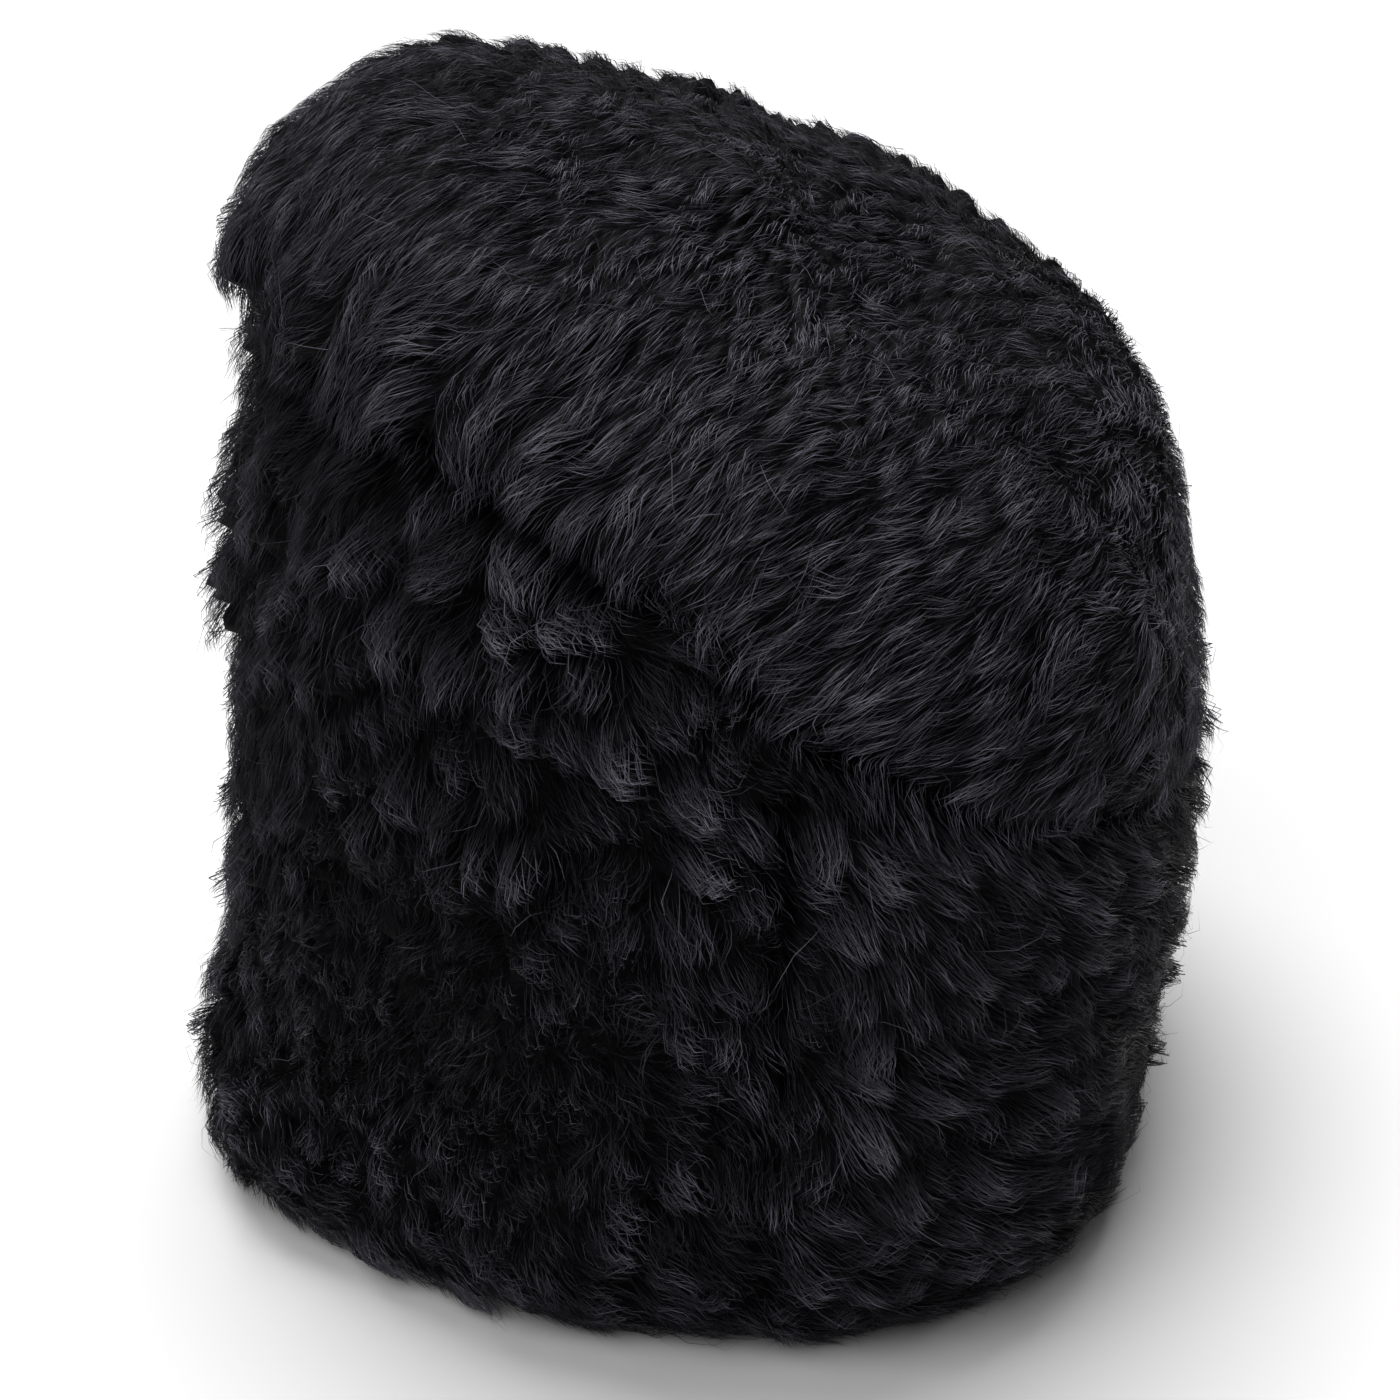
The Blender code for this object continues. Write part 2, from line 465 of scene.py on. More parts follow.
def region(degrees, round_spread, at_height, up_spread):
    """How far each place belongs to a region of the wool, from 0 to 1. The region's middle is in
    degrees round and in metres up, and its spreads are in radians and in metres."""
    return bump(turned_from(degrees), round_spread) * bump(height - at_height, up_spread)


# Where the wool differs: curly under the cleft and left of the join, frizzy at the lower left,
# smooth right of the join, short on the right, curly along the crown's left edge, and the crown's
# far edge
curly = np.maximum(region(259, 0.22, 0.125, 0.035), region(240, 0.30, 0.185, 0.03)) * in_band
fuzzy = region(238, 0.48, 0.07, 0.045) * in_band
smooth = bump(turned_from(300), 0.45) * in_band
short = bump(turned_from(337), 0.40) * in_band
edge_curls = bump(turned_from(214), 0.50) * bump(from_seam - 0.014, 0.016) * ~in_band
far_edge = np.clip((roots[..., 1] - 0.03) / 0.04, 0, 1) * ~in_band
patches = uneven(roots, 0.024, 11.3)

# How steeply the band's wool points down, in degrees, at some heights
slope_heights = (0, 0.02, 0.04, 0.06, 0.10, 0.14, 0.17)
slope_degrees = (0, 6, 18, 34, 44, 48, 80)


def band_comb():
    """The band's wool flows round it, almost level at the hem and steeper the higher it is."""
    around = unit(np.cross(roots_outward, roots_up))
    slope = np.radians(np.interp(height, slope_heights, slope_degrees))
    return laid(-around * np.cos(slope)[..., None] - roots_up * np.sin(slope)[..., None])


comb = np.where(in_band[..., None], band_comb(), crown_comb())
comb = swung(comb, roots_outward, 0.30 * uneven(roots, 0.03, 5.2))

# The tufts, on the plain wool of the band and of the crown, and what each kind of wool adds: their
# spacing and height in metres, how far they swing from the comb in radians, and how many times as
# long as wide they are
tuft_table = [
    # where       spacing  height   swing  stretch
    (in_band,      0.0105,  0.0068,  0.34,  1.5),
    (curly,        0.0030,  0.0024,  0.60, -0.3),
    (fuzzy,       -0.0035, -0.0020,  0.80,  0.0),
    (smooth,      -0.0026, -0.0022,  0.00,  0.0),
    (short,       -0.0015, -0.0020,  0.00,  0.0),
    (~in_band,     0.0062,  0.0018,  0.12,  2.4),
    (edge_curls,   0.0050,  0.0045,  0.55, -1.0),
    (far_edge,     0.0020,  0.0022,  0.00, -0.8),
]


def of_tufts(column):
    """One column of the table, summed at every point of the roots."""
    return sum(row[0] * row[column] for row in tuft_table)


tuft_spacing = of_tufts(1) * (1 + 0.5 * uneven(roots, 0.022, 2.3))
tuft_height = of_tufts(2) * (1 + 0.7 * patches)
tuft_swing = of_tufts(3)
tuft_stretch = of_tufts(4)


def tuft_middles():
    """Rows and columns of the points that tufts stand on, none nearer to another than its spacing."""
    chance = np.random.default_rng(4)
    taken = {}
    chosen = []
    cell = 0.011
    for number in chance.permutation(roots.shape[0] * columns):
        row, column = divmod(int(number), columns)
        place = roots[row, column]
        home = tuple(np.floor(place / cell).astype(int))
        near = [
            other
            for x in (-1, 0, 1) for y in (-1, 0, 1) for z in (-1, 0, 1)
            for other in taken.get((home[0] + x, home[1] + y, home[2] + z), ())
        ]
        reach = tuft_spacing[row, column]
        if near and np.min(np.sum((np.array(near) - place) ** 2, axis=1)) < reach**2:
            continue
        taken.setdefault(home, []).append(place)
        chosen.append((row, column))
    return tuple(np.array(chosen).T)


def tufted():
    """For every point of the roots: the number of its tuft, how far it is from the tuft's middle,
    and how far inside the tuft's edge, from 0 to 1. Then each tuft's own heading."""
    middles = tuft_middles()
    places, ways = roots[middles], comb[middles]
    swings = np.random.default_rng(5).normal(0, 1, len(places)) * tuft_swing[middles]
    ways = swung(ways, roots_outward[middles], swings)
    tree = kdtree.KDTree(len(places))
    for number, place in enumerate(places):
        tree.insert(place, number)
    tree.balance()
    flat = roots.reshape(-1, 3)
    nearest = 7
    near = np.array([[found[1] for found in tree.find_n(place, nearest)] for place in flat])
    off = flat[:, None] - places[near]
    along = (off * ways[near]).sum(axis=-1)
    across = np.sqrt(np.maximum((off**2).sum(axis=-1) - along**2, 0))
    far = np.hypot(along / tuft_stretch[middles][near], across) / tuft_spacing[middles][near]
    past_the_seam = 9.0
    far += past_the_seam * (in_band.reshape(-1)[:, None] != in_band[middles][near])
    order = np.argsort(far, axis=1)
    rows = np.arange(len(flat))
    first, second = order[:, 0], order[:, 1]
    apart = far[rows, second] - far[rows, first]
    edge_width = 0.45
    inside = np.clip(apart / (far[rows, second] + far[rows, first]) / edge_width, 0, 1)
    shape = roots.shape[:2]
    numbers = near[rows, first].reshape(shape)
    offs = off[rows, first].reshape(roots.shape)
    return numbers, offs, inside.reshape(shape), ways


tuft, off_tuft, inside_tuft, tuft_ways = tufted()
tuft_hold = 0.7
way = unit(laid(tuft_ways[tuft]) * tuft_hold + comb * (1 - tuft_hold))
along_tuft = (off_tuft * way).sum(axis=-1)
across_tuft = off_tuft - way * along_tuft[..., None]
tuft_dome = 1 - (1 - inside_tuft) ** 2
tuft_half = tuft_spacing * tuft_stretch * 0.5
tuft_lean = 0.5 + 0.5 * np.clip(along_tuft / tuft_half, -1, 1)
tuft_chance = np.random.default_rng(6).random(tuft.max() + 1)
tuft_sweep = np.random.default_rng(7).normal(0, 1, tuft.max() + 1)

# The tufts' height: highest towards their tips, with lumps under them, flat at the crown's middle
# and low at the hem, where the hat's weight presses them
middle_fade = 0.01
lump_height = 0.0028
lump_size = 0.022
hem_height = 0.022
crown_raise = 0.0008
fade = np.clip((up_the_hat[-1] - up_the_hat) / middle_fade, 0, 1)
crest = tuft_dome * tuft_lean * (0.65 + 0.6 * tuft_chance[tuft])
raised = (tuft_height * (crest * 1.4 - 0.75) + lump_height * uneven(roots, lump_size, 6.6)) * fade
raised = raised * np.clip(height / hem_height, 0.3, 1) + np.where(in_band, 0, crown_raise)


def inner_wool_material():
    """Black wool seen end on and from the side: fine hairs that run along the comb of each tuft,
    with a faint violet cast. It is kept very dark as painted shade deep in the wool between the wisps."""
    material, nodes, shader = new_material("inner_wool")
    place = nodes.node("ShaderNodeUVMap", {"uv_map": "comb"})
    across = nodes.node("ShaderNodeSeparateXYZ", output="X", vector=place)
    along = nodes.node("ShaderNodeSeparateXYZ", output="Y", vector=place)
    sway = nodes.math("SINE", along * 900.0 + across * 300.0) * 0.00025
    across = across + sway
    hair_place = nodes.node("ShaderNodeCombineXYZ", x=across * 1900.0, y=along * 110.0)
    lock_place = nodes.node("ShaderNodeCombineXYZ", x=across * 600.0, y=along * 60.0)
    hairs = nodes.node("ShaderNodeTexNoise", vector=hair_place, scale=1.0, detail=2.0)
    locks = nodes.node("ShaderNodeTexNoise", vector=lock_place, scale=1.0, detail=1.0)
    streaks = hairs * 0.55 + locks * 0.45
    contrast = nodes.node(
        "ShaderNodeMapRange", value=streaks, from_min=0.38, from_max=0.66, to_min=0.0, to_max=1.0
    )
    tone = nodes.node(
        "ShaderNodeMix", {"data_type": "RGBA"}, factor=contrast,
        a=(0.0002, 0.0002, 0.0003, 1), b=(0.0040, 0.0038, 0.0050, 1),
    )
    lines = nodes.node("ShaderNodeBump", strength=0.8, distance=0.0006, height=streaks)
    nodes.feed(shader.inputs["Base Color"], tone)
    nodes.feed(shader.inputs["Normal"], lines)
    shader.inputs["Roughness"].default_value = 0.6
    shader.inputs["Specular IOR Level"].default_value = 0.05
    return material


def combed_map(piece, rows):
    """A map over the outer face in metres: how far across and along its tuft each place is."""
    mesh = piece.data
    beside = np.cross(way, roots_outward)
    numbers, offs = tuft[rows].reshape(-1), roots[rows].reshape(-1, 3)
    ways, besides = way[rows].reshape(-1, 3), beside[rows].reshape(-1, 3)
    middles = np.zeros((tuft.max() + 1, 3))
    middles[tuft.reshape(-1)] = (roots - off_tuft).reshape(-1, 3)
    corners = np.empty(len(mesh.loops), int)
    mesh.loops.foreach_get("vertex_index", corners)
    starts = np.empty(len(mesh.polygons), int)
    counts = np.empty(len(mesh.polygons), int)
    mesh.polygons.foreach_get("loop_start", starts)
    mesh.polygons.foreach_get("loop_total", counts)
    leaders = np.repeat(corners[starts], counts)
    places = np.zeros((len(corners), 2))
    outer = (leaders < len(numbers)) & (corners < len(numbers))
    lead, own = leaders[outer], corners[outer]
    off = offs[own] - middles[numbers[lead]]
    places[outer, 0] = (off * besides[lead]).sum(axis=1) + tuft_chance[numbers[lead]]
    places[outer, 1] = (off * ways[lead]).sum(axis=1)
    mapped = mesh.uv_layers.new(name="comb")
    mapped.uv.foreach_set("vector", places.astype(np.float32).ravel())


inner_wool = inner_wool_material()
back_rows_below = 8
back_rows_above = 8
band_under_wool = 0.0010
crown_under_wool = 0.0004
far_edge_raise = 0.0014
coat_lift = 0.0005
under_wool = np.where(in_band, band_under_wool, crown_under_wool - far_edge_raise * far_edge)
coat = roots + roots_outward * (raised - sunk - under_wool)[..., None]
coat[..., 2] = np.maximum(coat[..., 2], coat_lift)
coat_back = meridians(wool_depth, coat_lift, back_rows_below, back_rows_above)
outer_band, outer_crown = parted(coat, band_rows)
inner_band, inner_crown = parted(coat_back, back_rows_below)
band_coat = ring_wall("band_inner_wool", outer_band, inner_band, inner_wool)
crown_coat = dome_wall("crown_inner_wool", outer_crown, inner_crown, inner_wool)
combed_map(band_coat, slice(0, band_rows + 1))
combed_map(crown_coat, slice(band_rows, -1))
for piece, node in ((band_coat, "band_wool"), (crown_coat, "crown_wool")):
    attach(piece, "root")
    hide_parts(node)


# The long wool
# Black wool combed down and round the band and over the crown. It lies in the tufts of the roots,
# and its wisps draw together towards their tips. Each piece is grown from one region of the roots.

full_length = 0.014
full_lift = 0.0030
crown_shortest = 0.005
crown_past_tuft = 0.0048
crown_curl_size = 0.0003
band_shortest = 0.006
band_past_tuft = 0.0045
join_shortest = 0.003
join_reach = 0.02


def crown_growth():
    """How the crown's wool grows. Near the seam it is short, so that its tips end over the cleft."""
    downwards = np.maximum(-(way * roots_up).sum(axis=-1), 0.25)
    over_cleft = 0.001 + 0.006 * tuft_chance[tuft] - 0.003 * (gap_share - 0.8)
    to_tip = np.maximum(tuft_half - along_tuft, 0) + crown_past_tuft
    length = np.minimum((np.maximum(from_seam, 0) + over_cleft) / downwards, to_tip)
    length = np.clip(length, crown_shortest, full_length) * (1 - 0.3 * far_edge)
    lift = full_lift * np.clip(length / full_length, 0.6, 1) * (0.75 + 0.35 * far_edge)
    return length, lift, np.full(length.shape, crown_curl_size)


def band_growth():
    """How the band's wool grows. It is short in the frizz, and close to the left of the join, where
    its tips end at the parting high up and lie over it lower down."""
    to_tip = np.maximum(tuft_half - along_tuft, 0) + band_past_tuft
    length = np.clip(to_tip, band_shortest, full_length) * (1 - 0.4 * fuzzy)
    before_join = (from_join < 0) & (from_join > -join_reach)
    past_join = (0.004 + 0.006 * tuft_chance[tuft]) * (1 - 0.9 * bump(height - 0.125, 0.05))
    over_join = np.maximum(past_join - from_join, join_shortest)
    length = np.where(before_join, np.minimum(length, over_join), length)
    lift = full_lift * (1 + 0.25 * curly + 0.4 * fuzzy) * np.clip(height / 0.025, 0.35, 1)
    return length, lift, 0.0006 + 0.0012 * curly + 0.0006 * bump(height, 0.03)


def near_place(right, front, spread):
    """How near each place is, in plan, to a place on the crown, from 0 to 1."""
    return bump(np.hypot(roots[..., 0] - right, roots[..., 1] - front), spread)


# Painted light and shade on the tips of the long wool: what each kind of place adds, and then what share
# each takes away.
# Light is painted on the crown's top and right, on the band right of the join and near the hem. Shade is
# painted at the frizz, the crown's far edge and ends, the band's left and right and in the join's cleft. The
# curls are also made lighter.
band_painted_light = [
    # where                            adds
    (np.ones(height.shape),             1.25),
    (fuzzy,                            -0.8),
    (curly,                             0.9),
    (region(290, 0.55, 0.11, 0.055),    2.6),
    (region(250, 0.80, 0.015, 0.03),    1.0),
]
band_painted_shade = [
    # where                                              takes
    (bump(turned_from(345), 0.50),                        0.75),
    (bump(turned_from(188), 0.30),                        0.4),
    (bump(from_join, 0.004) * bump(height - 0.12, 0.04),  0.6),
]
crown_painted_light = [
    # where                            adds
    (np.ones(height.shape),             2.9),
    (roots[..., 0],                     8.0),
    (near_place(-0.01, -0.045, 0.045),  2.2),
    (near_place(-0.01, -0.105, 0.03),   1.2),
]
crown_painted_shade = [
    # where                             takes
    (near_place(-0.098, -0.026, 0.016),  0.6),
    (far_edge,                           0.5),
    (bump(roots[..., 0] + 0.115, 0.022), 0.5),
    (bump(roots[..., 0] - 0.125, 0.025), 0.4),
]


def painted_light_of(lighter, duller, patchiness):
    """How light the tips are at every point of the roots: painted light and shade, varied at random by the
    patches.
    """
    painted_light = sum(where * adds for where, adds in lighter)
    for where, takes in duller:
        painted_light = painted_light * (1 - takes * where)
    return painted_light * (1 + patchiness * patches)


painted_light = np.where(in_band, painted_light_of(band_painted_light, band_painted_shade, 1.0), painted_light_of(crown_painted_light, crown_painted_shade, 0.5))
# Painted highlight on the tuft crests and painted shade in the gaps between tufts, weaker on the crown
painted_crest_light = np.clip(crest, 0, 1)
painted_crest_light = np.where(in_band, painted_crest_light, 0.16 + 0.66 * painted_crest_light)
crown_length, crown_lift, crown_curl = crown_growth()
band_length, band_lift, band_curl = band_growth()
growth = {
    "comb": way,
    "outward": roots_outward,
    "gather": -across_tuft,
    "reach": np.where(in_band, band_length, crown_length),
    "lift": np.where(in_band, band_lift, crown_lift) * (0.6 + 0.8 * tuft_chance[tuft]),
    "curl": np.where(in_band, band_curl, crown_curl),
    "sunk": sunk * 0.5,
    "raised": raised - sunk * 0.5,
    # The tips' colour: the painted light and shade of the crests and of each region
    "crest": painted_crest_light * painted_light,
    "tuft_chance": tuft_chance[tuft],
    "fuzz": 0.8 * fuzzy,
    "sweep": tuft_sweep[tuft] * np.where(in_band, 0.85 + 0.5 * curly, 0.35 + 0.5 * edge_curls),
}


def growing_skin(name, share):
    """The roots' surface, with how the wool grows stored on its points. share is how much of the
    full number of wisps grows at each point."""
    points = np.concatenate([roots[:-1].reshape(-1, 3), roots[-1, :1]])
    last = len(points) - 1
    faces = [*grid_faces(len(roots) - 1, 0, False), *fan_faces(last - columns, last, False)]
    skin = mesh_piece(name, points, faces, inner_wool)
    for field, values in {**growth, "share": share}.items():
        flat = np.concatenate([values[:-1].reshape(last, -1), values[-1, :1].reshape(1, -1)])
        kind, slot_name = ("FLOAT_VECTOR", "vector") if flat.shape[1] == 3 else ("FLOAT", "value")
        stored = skin.data.attributes.new(field, kind, "POINT")
        stored.data.foreach_set(slot_name, flat.astype(np.float32).ravel())
    return skin


def long_wool_material():
    """Black wool with a violet cast. It runs from dark to light by the tone attribute, which carries painted
    light and shade, and it is darkened towards its roots as painted shade.
    """
    material, nodes, shader = new_material("long_wool")
    along = nodes.node("ShaderNodeAttribute", {"attribute_name": "along"}, "Fac")
    tone = nodes.node("ShaderNodeAttribute", {"attribute_name": "tone"}, "Fac")
    lighter = nodes.node(
        "ShaderNodeMix", {"data_type": "RGBA"}, factor=tone,
        a=(0.0012, 0.0011, 0.0016, 1), b=(0.150, 0.143, 0.178, 1),
    )
    # Painted shade: darker towards the roots, where the wisps shade each other
    shaded = nodes.node(
        "ShaderNodeMix", {"data_type": "RGBA"}, factor=nodes.math("MULTIPLY_ADD", along, 0.7, 0.3),
        a=(0.0004, 0.0004, 0.0005, 1), b=lighter,
    )
    nodes.feed(shader.inputs["Base Color"], shaded)
    shader.inputs["Roughness"].default_value = 0.42
    shader.inputs["Specular IOR Level"].default_value = 0.14
    shader.inputs["Specular Tint"].default_value = (0.88, 0.86, 1.0, 1)
    return material


def wool_tree():
    """Grows wisps on a skin: points scattered over it, a tapered wisp at each, laid along the comb."""
    tree = bpy.data.node_groups.new("combed_wisps", "GeometryNodeTree")
    sizes = [
        ("Skin", "Geometry", None),
        ("Wisps per square metre", "Float", 400000.0),
        ("Segments", "Int", 2),
        ("Half width", "Float", 0.00015),
        ("Flatness", "Float", 0.6),
        ("Length share", "Float", 1.0),
        ("Lift share", "Float", 1.0),
        ("Curl share", "Float", 1.0),
        ("Gathering", "Float", 0.55),
        ("Stray", "Float", 0.22),
        ("Curl turns", "Float", 0.9),
        ("Seed", "Int", 1),
        ("Wool", "Material", None),
    ]
    for name, kind, value in sizes:
        socket = tree.interface.new_socket(name=name, in_out="INPUT", socket_type="NodeSocket" + kind)
        if value is not None:
            socket.default_value = value
    tree.interface.new_socket(name="Wisps", in_out="OUTPUT", socket_type="NodeSocketGeometry")
    nodes = Nodes(tree)
    entry = tree.nodes.new("NodeGroupInput")
    given = {socket.name: Wire(nodes, socket) for socket in entry.outputs if socket.name}
    skin = given["Skin"]

    def named(name, vector=False):
        kind = "FLOAT_VECTOR" if vector else "FLOAT"
        return nodes.node("GeometryNodeInputNamedAttribute", {"data_type": kind}, "Attribute", name=name)

    def stored(geometry, name, value):
        kind = "FLOAT_VECTOR" if value.socket.type == "VECTOR" else "FLOAT"
        settings = {"data_type": kind, "domain": "POINT"}
        return nodes.node(
            "GeometryNodeStoreNamedAttribute", settings, geometry=geometry, name=name, value=value
        )

    def on_skin(value, place):
        kind = "GeometryNodeSampleNearestSurface"
        settings = {"data_type": "FLOAT_VECTOR"}
        return nodes.node(kind, settings, "Value", mesh=skin, value=value, sample_position=place)

    def on_height(place):
        """How far the tufts raise the wool at a place."""
        kind = "GeometryNodeSampleNearestSurface"
        settings = {"data_type": "FLOAT"}
        return nodes.node(kind, settings, "Value", mesh=skin, value=raised_here, sample_position=place)

    def chance(low, high, seed):
        settings = {"data_type": "FLOAT"}
        return nodes.node("FunctionNodeRandomValue", settings, min=low, max=high, seed=seed)

    def turned(vector, axis, angle):
        settings = {"rotation_type": "AXIS_ANGLE"}
        return nodes.node("ShaderNodeVectorRotate", settings, vector=vector, axis=axis, angle=angle)

    # Points for the wisps
    position = nodes.node("GeometryNodeInputPosition")
    points = nodes.node(
        "GeometryNodeDistributePointsOnFaces", output="Points", mesh=skin,
        density=named("share") * given["Wisps per square metre"], seed=given["Seed"],
    )
    outward = named("outward", True)
    comb_here = named("comb", True)
    raised_here = named("raised")
    swing = chance(-1.0, 1.0, 2) * (given["Stray"] + named("fuzz"))
    length = named("reach") * given["Length share"] * chance(0.8, 1.2, 4)
    heading = turned(comb_here, outward, swing)
    ahead = on_skin(comb_here, position + heading * length)
    own_tone = chance(0.0, 1.0, 10) ** 3.0 * 0.75 + named("tuft_chance") * 0.25
    facts = {
        "root": position,
        "heading": heading,
        "bend": turned(ahead, outward, swing + named("sweep")) - heading,
        "length": length,
        "rise": named("lift") * given["Lift share"] * chance(0.7, 1.3, 6),
        "gather_by": named("gather", True) * given["Gathering"],
        "phase": named("tuft_chance") * math.tau + chance(-0.7, 0.7, 8),
        "width": given["Half width"] * chance(0.7, 1.3, 9),
        # The tone is a random share times the crest attribute, which carries the painted light and shade
        "tone": own_tone * (named("crest") * 0.9 + 0.1),
    }
    for name, value in facts.items():
        points = stored(points, name, value)

    # One wisp, as a cone of unit height with three sides
    cone = nodes.node(
        "GeometryNodeMeshCone", {"fill_type": "NGON"}, "Mesh", vertices=3,
        side_segments=given["Segments"], radius_top=0.0, radius_bottom=1.0, depth=1.0,
    )
    up_cone = nodes.node("ShaderNodeSeparateXYZ", output="Z", vector=position)
    round_cone = position * (1.0, 1.0, 0.0) / nodes.math("MAXIMUM", 1.0 - up_cone, 0.05)
    cone = stored(stored(cone, "ring", round_cone), "along", up_cone)
    wisps = nodes.node("GeometryNodeInstanceOnPoints", points=points, instance=cone)
    wisps = nodes.node("GeometryNodeRealizeInstances", geometry=wisps)

    # The wisps laid over the skin
    root, heading, bend = named("root", True), named("heading", True), named("bend", True)
    length, rise, sunk_by, raised_by = named("length"), named("rise"), named("sunk"), named("raised")
    phase, width, curl_turn = named("phase"), named("width"), given["Curl turns"] * math.tau
    curl_size = named("curl") * given["Curl share"]
    along, ring = named("along"), named("ring", True)
    beside = nodes.math("NORMALIZE", nodes.math("CROSS_PRODUCT", heading, outward))

    above_floor = (-9.0, -9.0, 0.0012)

    def centre(t):
        """The middle of a wisp at a share t of its length."""
        turning = curl_turn * t + phase
        smooth = t * t * (3.0 - t * 2.0)
        wave = nodes.math("SINE", turning) * curl_size * t
        flat = heading * (t * length) + bend * (t * t * length * 0.5)
        place = root + flat + named("gather_by", True) * smooth + beside * wave
        below = sunk_by * (1.0 - t) ** 2.0
        coil = (1.0 - nodes.math("COSINE", turning)) * curl_size * t
        tuft_top = nodes.math("MAXIMUM", raised_by, on_height(place))
        lifted = rise * t * (2.2 - t * 1.35) - below + tuft_top * (1.0 - t * t * 0.3) + coil
        over_skin = nodes.math("NORMALIZE", on_skin(outward, place)) * lifted
        return nodes.math("MAXIMUM", on_skin(position, place) + over_skin, above_floor)

    middle = centre(along)
    onward = nodes.math("NORMALIZE", centre(along + 0.05) - centre(along - 0.05))
    side = nodes.math("NORMALIZE", nodes.math("CROSS_PRODUCT", onward, outward))
    over = nodes.math("CROSS_PRODUCT", side, onward)
    taper = width * (1.0 - nodes.math("MAXIMUM", along, 0.0) ** 2.0)
    ring_over = nodes.node("ShaderNodeSeparateXYZ", output="X", vector=ring)
    ring_side = nodes.node("ShaderNodeSeparateXYZ", output="Y", vector=ring)
    rim = side * (ring_side * taper) + over * (ring_over * taper * given["Flatness"])
    wisps = nodes.node("GeometryNodeSetPosition", geometry=wisps, position=middle + rim)
    wisps = nodes.node("GeometryNodeSetShadeSmooth", geometry=wisps, shade_smooth=True)
    wisps = nodes.node("GeometryNodeSetMaterial", geometry=wisps, material=given["Wool"])
    leave = tree.nodes.new("NodeGroupOutput")
    nodes.feed(leave.inputs["Wisps"], wisps)
    return tree


long_wool = long_wool_material()
wisps_tree = wool_tree()
spare_fields = ["share", "root", "heading", "bend", "length", "rise", "gather_by", "phase", "width", "ring"]


def grow(name, share, **sizes):
    """Long wool grown from a region of the roots, as one plain mesh."""
    skin = growing_skin(name + "_skin", share)
    modifier = skin.modifiers.new("comb", "NODES")
    modifier.node_group = wisps_tree
    sockets = {s.name: s.identifier for s in wisps_tree.interface.items_tree if s.in_out == "INPUT"}
    for title, value in {**sizes, "Wool": long_wool}.items():
        modifier[sockets[title.replace("_", " ")]] = value
    seen = skin.evaluated_get(bpy.context.evaluated_depsgraph_get())
    data = bpy.data.meshes.new_from_object(seen)
    bpy.data.objects.remove(skin)
    for field in [*growth, *spare_fields]:
        if field in data.attributes:
            data.attributes.remove(data.attributes[field])
    data.name = name
    piece = bpy.data.objects.new(name, data)
    bpy.context.scene.collection.objects.link(piece)
    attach(piece, "root")


def sector(start, end):
    """Where the columns are between two angles in degrees, counted onwards from start."""
    inside = (np.degrees(angles) - start) % 360 < (end - start) % 360
    return np.broadcast_to(inside, height.shape)


# How densely the wool grows, as shares of the full number of wisps: thickest at the back and at the
# hem, and thin in the parting at the join
on_band = in_band & (height > 0.002)
crown_share = np.clip(1.15 - 3.0 * roots[..., 1], 1.0, 1.3)
band_share = np.clip(0.95 - 4.5 * roots[..., 1], 0.42, 1.25) * (1 + 0.35 * bump(height, 0.015))
parting = bump(from_join + 0.6 * wander, 0.0024) * bump(height - 0.115, 0.038)
band_share = band_share * (1 - 0.93 * parting)
loose_share = np.where(in_band, 1 + 3.0 * fuzzy, 0.35)

crown_strips = np.digitize(roots[..., 1], (-0.075, -0.035, 0.02))
for strip in range(4):
    strip_share = crown_share * (~in_band & (crown_strips == strip))
    grow(f"crown_wool_{strip + 1}", strip_share, Seed=11 + strip, Half_width=0.00013, Gathering=0.42)

band_sectors = [
    # start end segments
    (180,   230, 2),
    (230,   275, 3),
    (275,   315, 2),
    (315,   20,  2),
    (20,    100, 2),
    (100,   180, 2),
]
for number, (start, end, segments) in enumerate(band_sectors):
    sector_share = band_share * (on_band & sector(start, end))
    grow(f"band_wool_{number + 1}", sector_share, Seed=31 + number, Segments=segments, Gathering=0.38)

grow(
    "loose_hairs", loose_share, Seed=71, Wisps_per_square_metre=11000.0, Half_width=0.00010, Segments=4,
    Length_share=1.5, Lift_share=1.2, Curl_share=2.5, Gathering=0.0, Stray=1.4,
)


# The studio
# A pale plain floor, faint daylight all round and two wide soft suns: a strong one from beyond the
# hat and above it, and a weaker one from the left of the camera.

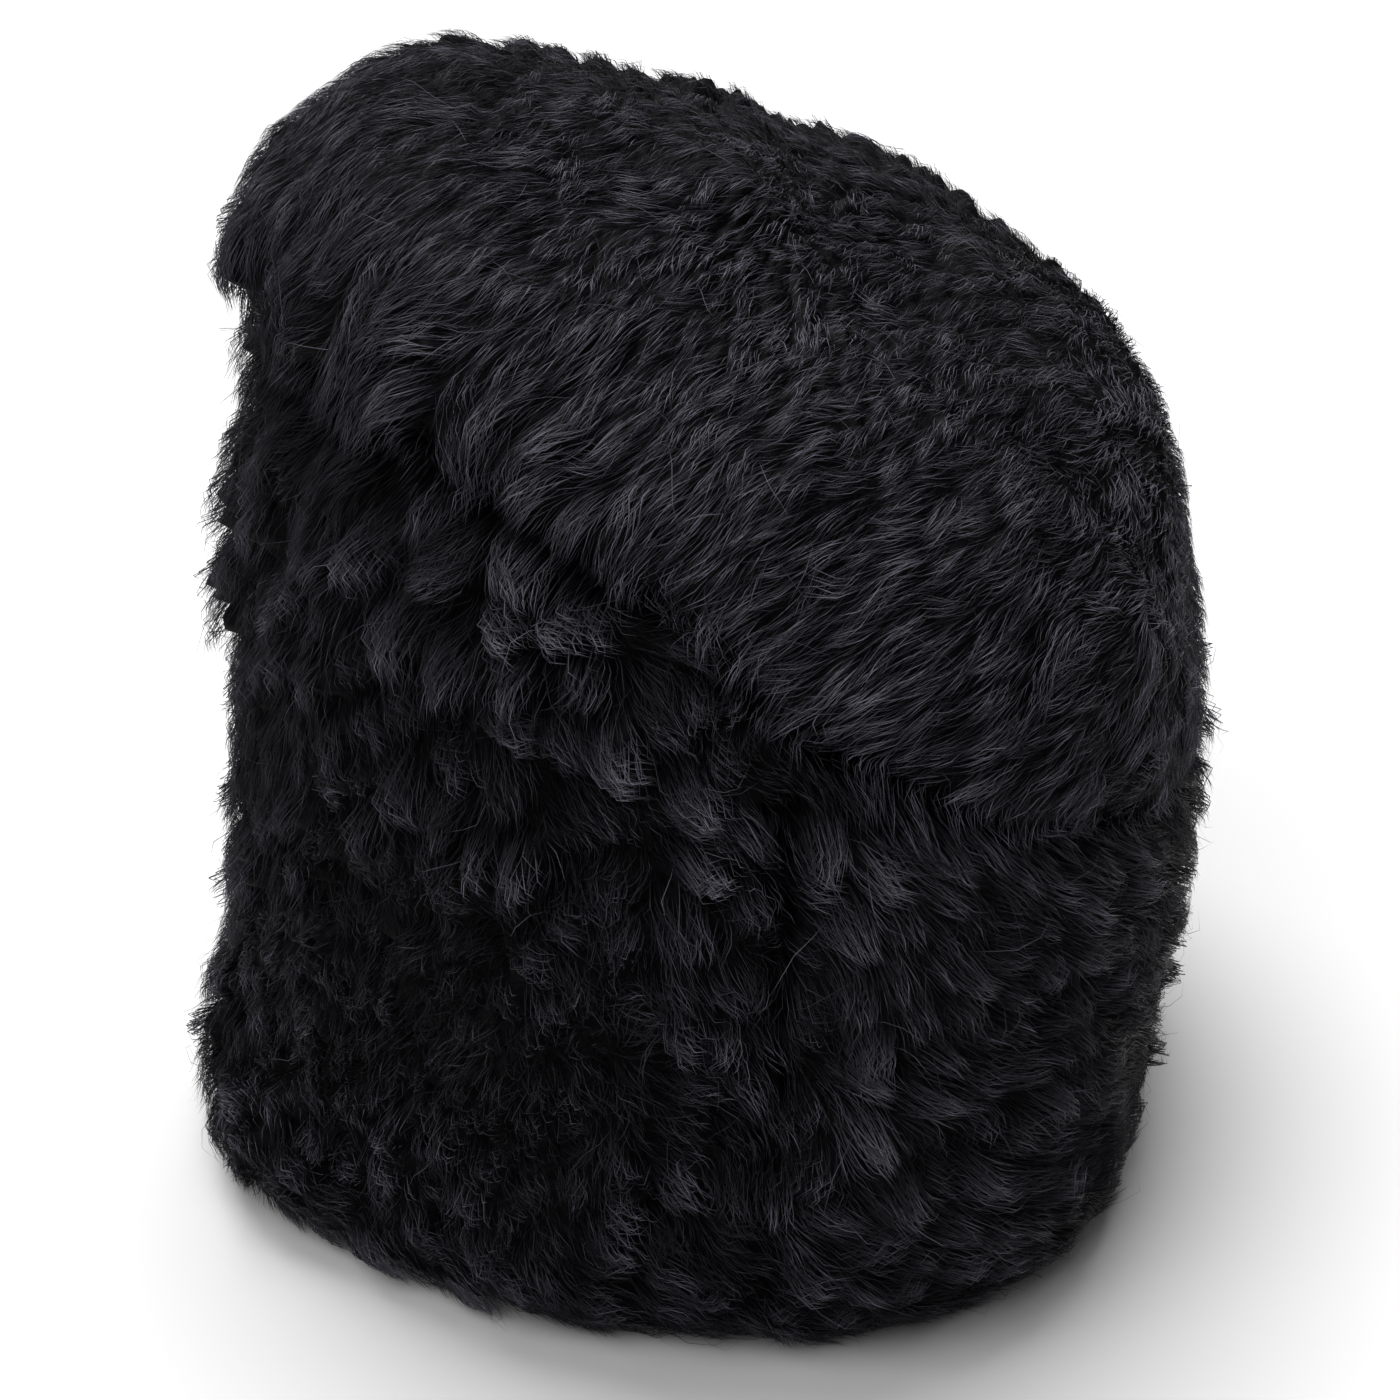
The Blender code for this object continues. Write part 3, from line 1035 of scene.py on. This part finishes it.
floor_half = 3.0
floor_data = bpy.data.meshes.new("floor")
corners = [(-floor_half, -floor_half, 0), (floor_half, -floor_half, 0)]
corners += [(floor_half, floor_half, 0), (-floor_half, floor_half, 0)]
floor_data.from_pydata(corners, [], [(0, 1, 2, 3)])
floor = bpy.data.objects.new("floor", floor_data)
bpy.context.scene.collection.objects.link(floor)
paper, _, paper_shader = new_material("pale_paper")
paper_shader.inputs["Base Color"].default_value = (0.48, 0.48, 0.48, 1)
paper_shader.inputs["Roughness"].default_value = 0.9
floor_data.materials.append(paper)

world = bpy.data.worlds.new("daylight")
world.use_nodes = True
world.node_tree.nodes["Background"].inputs["Color"].default_value = (1, 1, 1, 1)
world.node_tree.nodes["Background"].inputs["Strength"].default_value = 0.25
bpy.context.scene.world = world


def sun(name, toward, strength, spread):
    """A soft sun that shines toward a direction and spreads over this many degrees."""
    data = bpy.data.lights.new(name, "SUN")
    data.energy = strength
    data.angle = math.radians(spread)
    placed = bpy.data.objects.new(name, data)
    placed.rotation_euler = Vector(toward).to_track_quat("-Z", "Y").to_euler()
    bpy.context.scene.collection.objects.link(placed)


sun("top_light", (0.10, -0.42, -1.0), 5.5, 50)
sun("left_light", (0.45, 0.60, -0.9), 2.3, 50)

camera_distance = 1.5
camera_fall = math.radians(28.45)
aim_height = 0.10
photo_width = 1400
focal_pixels = 6622.5
pixels_per_metre = focal_pixels / camera_distance
offset_right = 2.8 / pixels_per_metre
offset_up = 2.0 / pixels_per_metre
sensor_width = 36
forward = np.array([0, math.cos(camera_fall), -math.sin(camera_fall)])
upward = np.array([0, math.sin(camera_fall), math.cos(camera_fall)])
looked_at = np.array([0, 0, aim_height]) - form_middle
camera_place = looked_at - camera_distance * forward - offset_right * np.array([1, 0, 0])
camera_place = camera_place - offset_up * upward
camera_data = bpy.data.cameras.new("camera")
camera_data.sensor_width = sensor_width
camera_data.lens = focal_pixels * sensor_width / photo_width
camera = bpy.data.objects.new("camera", camera_data)
camera.location = camera_place
camera.rotation_euler = Vector(forward).to_track_quat("-Z", "Y").to_euler()
bpy.context.scene.collection.objects.link(camera)
bpy.context.scene.camera = camera
bpy.context.scene.view_settings.view_transform = "Standard"
